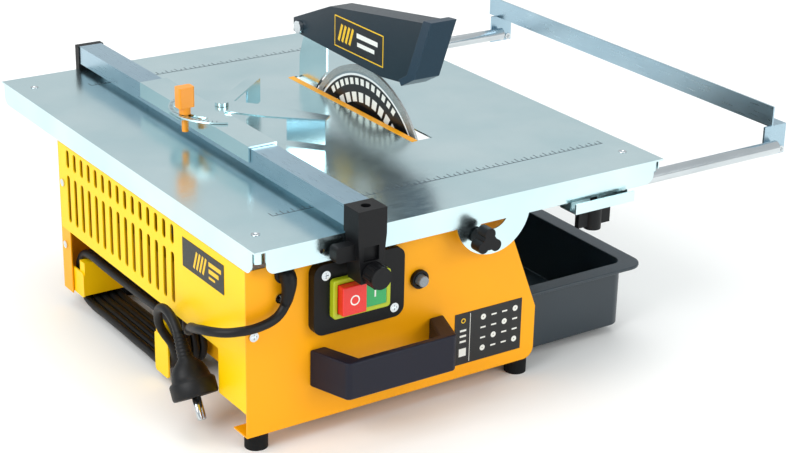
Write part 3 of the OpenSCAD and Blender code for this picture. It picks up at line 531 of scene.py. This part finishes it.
def blade_finish():
    """Rings by share = radius / rim radius: steel, black ink from 0.26, white from 0.9, steel from 0.918."""
    mat, tree, shader, coords = new_finish("printed_blade_core", Roughness=0.3)
    shift = add(tree, "ShaderNodeVectorMath", {0: coords, 1: tuple(blade_mid)}, operation="SUBTRACT")
    flat = add(tree, "ShaderNodeVectorMath", {0: shift.outputs[0], 1: (0.0, 1.0, 1.0)}, operation="MULTIPLY")
    radius = add(tree, "ShaderNodeVectorMath", {0: flat.outputs[0]}, operation="LENGTH").outputs["Value"]
    share = add(tree, "ShaderNodeMath", {0: radius, 1: float(blade_top_r)}, operation="DIVIDE").outputs[0]
    steel, ink, white = linear("#AEB6BA"), linear("#0B0C0E"), linear("#E8EBEA")
    colour = ramp(tree, share, [(0.0, steel), (0.26, ink), (0.9, white), (0.918, steel)], smooth=False)
    metal = ramp(tree, share, [(0.0, grey(1.0)), (0.26, grey(0.0)), (0.918, grey(1.0))], smooth=False)
    tree.links.new(colour, shader.inputs["Base Color"])
    tree.links.new(metal, shader.inputs["Metallic"])
    return mat


def rim_finish():
    """Grit: cells about 0.7 mm across drive the grey of the base colour and a shallow bump."""
    mat, tree, shader, coords = new_finish("sintered_diamond_rim", Metallic=0.85, Roughness=0.42)
    grit = add(tree, "ShaderNodeTexVoronoi", {"Vector": coords, "Scale": 1400.0})
    greys = [(0.0, linear("#8E9394")), (0.7, linear("#C3C7C6"))]
    tree.links.new(ramp(tree, grit.outputs["Distance"], greys), shader.inputs["Base Color"])
    bump = add(tree, "ShaderNodeBump",
               {"Height": grit.outputs["Distance"], "Strength": 0.5, "Distance": 0.0004})
    tree.links.new(bump.outputs[0], shader.inputs["Normal"])
    return mat


for name, finish in (("blade", blade_finish()), ("blade_rim", rim_finish())):
    refinish(frame["nodes"][name], finish)
print("blade radius", round(blade_top_r, 4))

# %% [markdown]
# ## Printed marks
# Scales, pictograms and labels are ink or film a tenth of a millimetre thick. They are thin tiles and ring
# sectors laid on their faces, with plain bars where the maker's words would be.

# %% Table scales
X, Y, Z = np.eye(3)
TABLE_Z = 178
top = place(0, 0, TABLE_Z)


def ruler(x0, x1, y):
    """Ticks every 5 mm along X, the tens longer, and a thin line along their foot."""
    xs = np.arange(x0, x1 + 1, 5.0)
    tall = np.where(np.arange(len(xs)) % 2 == 0, 3.2, 1.8)
    centres = np.vstack([np.column_stack([xs, y + tall]), [[(x0 + x1) / 2, y - 0.4]]])
    halves = np.vstack([np.column_stack([np.full(len(xs), 0.3), tall]), [[(x1 - x0) / 2, 0.3]]])
    return centres, halves


marks = [ruler(-151, 180, -181), ruler(-133, 104, 186)]
scales = tiles("table_scales", np.vstack([c for c, _ in marks]), np.vstack([h for _, h in marks]), top, X, Y)
dress(scales, "table", dark_ink)
for name, x, y in (("a", 181, -207), ("b", -181, -207), ("c", 181, 207), ("d", -181, 207)):
    screw = turned("table_screw_" + name, [(0, 3.6), (0.35, 3.6), (0.6, 3.0), (0.6, 1.4), (0.2, 1.2)],
                   place(x, y, TABLE_Z), Z, 32)
    dress(screw, "table", bright_steel)
print("ruler ticks", len(marks[0][0]) + len(marks[1][0]))

# %% Labels and symbols
LABEL_FRONT = -224.0
LABEL_ROWS = [(26 + 11 * c, 66 - 9.5 * r, (r + c) % 3) for r in range(4) for c in range(4)]
front_face = place(0, LABEL_FRONT, 0)
bars = [(5.5, 58, 3.2, 0.9), (5.5, 53, 3.2, 0.9), (5.5, 48, 3.2, 0.9), (5.5, 38, 3.6, 3.6)]
bars += [(x, z, 2.6, 0.7) for x, z, kind in LABEL_ROWS if kind]
bars += [(12.5, 50.5, 0.25, 22)]
pictures = tiles("rating_marks", [b[:2] for b in bars], [b[2:] for b in bars], front_face, X, Z)
dress(pictures, "root", white_ink)
dots = arcs("rating_signs", [(1.4, 2.3, 0, 360)], place(5.5, LABEL_FRONT, 67), X, Z)
rounds = [(x, z) for x, z, kind in LABEL_ROWS if kind == 0]
dress(dots, "root", yellow_ink)
for number, (x, z) in enumerate(rounds):
    sign = arcs(f"rating_round_{number}", [(0.5, 2.6, 0, 360)], place(x, LABEL_FRONT, z), X, Z)
    dress(sign, "root", white_ink)
side_face = place(-199.8, 0, 0)
stripes = [(144 + 5 * i, 137.5, 1.3, 8.0) for i in range(4)]
lines = [(176, 142.5, 10, 1.8), (174, 136.5, 8, 1.8), (171, 131, 5, 1.0)]
emblem = tiles("side_marks", [s[:2] for s in stripes], [s[2:] for s in stripes], side_face, -Y, Z,
               turn=math.radians(-20))
dress(emblem, "root", yellow_ink)
words = tiles("side_lines", [s[:2] for s in lines], [s[2:] for s in lines], side_face, -Y, Z)
dress(words, "root", yellow_ink)

guard_face = place(38.0, 0, 0)
guard_film_face = guard_face - 0.0001 * X
frame_tile = tiles("guard_label_edge", [(8, 246.5)], [(40, 14.5)], guard_face, -Y, Z, thick=0.12)
dress(frame_tile, "guard", yellow_ink)
film_tile = tiles("guard_label_film", [(8, 246.5)], [(38.9, 13.4)], guard_face, -Y, Z, thick=0.2)
dress(film_tile, "guard", label_film)
guard_bars = [(-22 + 6 * i, 246.5, 1.6, 8.5) for i in range(4)]
guard_sign = tiles("guard_marks", [g[:2] for g in guard_bars], [g[2:] for g in guard_bars],
                   guard_film_face, -Y, Z, turn=math.radians(-20))
dress(guard_sign, "guard", yellow_ink)
guard_lines = tiles("guard_lines", [(22, 250.5), (20, 242.5)], [(17, 2.2), (14, 1.9)],
                    guard_film_face, -Y, Z)
dress(guard_lines, "guard", white_ink)
print("labels made")

# %% Button symbols, mitre scale and blade print
stop_low, stop_high = (np.array(v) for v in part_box("stop_button"))
start_low, start_high = (np.array(v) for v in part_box("start_button"))
stop_mid, start_mid = (stop_low + stop_high) / 2, (start_low + start_high) / 2
stop_sign = arcs("stop_symbol", [(3.2, 4.3, 0, 360)], (stop_mid[0], stop_low[1], stop_mid[2]), X, Z)
dress(stop_sign, "stop", white_ink)
start_sign = tiles("start_symbol", [(0, 0)], [(0.7, 4.5)], (start_mid[0], start_low[1], start_mid[2]), X, Z)
dress(start_sign, "start", white_ink)

pivot = place(-92, 8, 203.6)
angles = np.radians(np.arange(126, 241, 5))
ticks = tiles("mitre_scale", 43.6 * np.column_stack([np.cos(angles), np.sin(angles)]), (1.5, 0.25),
              pivot, X, Y, turn=angles)
dress(ticks, "mitre", dark_ink)

CORE_HALF = 0.0009
print_bands = [(66, 75, a, a + 6) for a in range(48, 136, 9)]
print_bands += [(82, 88, a, a + 3.6) for a in range(56, 130, 6)]
for name, normal_side, u in (("left", -1, -Y), ("right", 1, Y)):
    face = np.array([blade_mid[0] + normal_side * CORE_HALF, blade_mid[1], blade_mid[2]])
    band = arcs("blade_print_" + name, print_bands, face, u, Z, steps=6)
    dress(band, "spindle", white_ink if name == "left" else yellow_ink)
print("symbols made")

# %% [markdown]
# ## Floor and light
# A pale matt sheet under the machine and three large soft lamps: one high on the left that brightens the
# side panel and the table, a weaker one from the front right, and one overhead, a little behind. The world
# is a plain pale grey for the steel to mirror.

# %% Studio
floor = mesh_piece("floor", [(-6, -6, 0), (6, -6, 0), (6, 6, 0), (-6, 6, 0)], [(0, 1, 2, 3)], smooth=False)
floor_mat, _, floor_shader, _ = new_finish("pale_studio_sheet", Roughness=0.9)
floor_shader.inputs["Base Color"].default_value = linear("#F4F4F2")
floor.data.materials.append(floor_mat)


def lamp(name, at, aim, size, power, colour="#FFFFFF"):
    """A square area lamp at a point, its -Z turned towards the aim."""
    data = bpy.data.lights.new(name, "AREA")
    data.size = size
    data.energy = power
    data.color = linear(colour)[:3]
    obj = bpy.data.objects.new(name, data)
    bpy.context.collection.objects.link(obj)
    away = np.asarray(at, float) - np.asarray(aim, float)
    away /= np.linalg.norm(away)
    side = np.cross([0.0, 0.0, 1.0], away)
    side /= np.linalg.norm(side)
    matrix = np.eye(4)
    matrix[:3, 0], matrix[:3, 1], matrix[:3, 2] = side, np.cross(away, side), away
    matrix[:3, 3] = at
    obj.matrix_world = Matrix(matrix.tolist())


lamp("left_softbox", (-2.4, -0.6, 1.9), (0, 0, 0.1), 1.8, 55)
lamp("front_softbox", (1.0, -2.6, 1.3), (0, 0, 0.15), 1.6, 26)
lamp("top_softbox", (0.3, 0.9, 2.6), (0, 0, 0.1), 2.4, 34)
world = bpy.data.worlds.new("pale_room")
world.use_nodes = True
world.node_tree.nodes["Background"].inputs["Color"].default_value = linear("#EEF2F4")
world.node_tree.nodes["Background"].inputs["Strength"].default_value = 0.75
bpy.context.scene.world = world
bpy.context.scene.view_settings.view_transform = "Standard"
print("studio made")

bpy.context.view_layer.update()
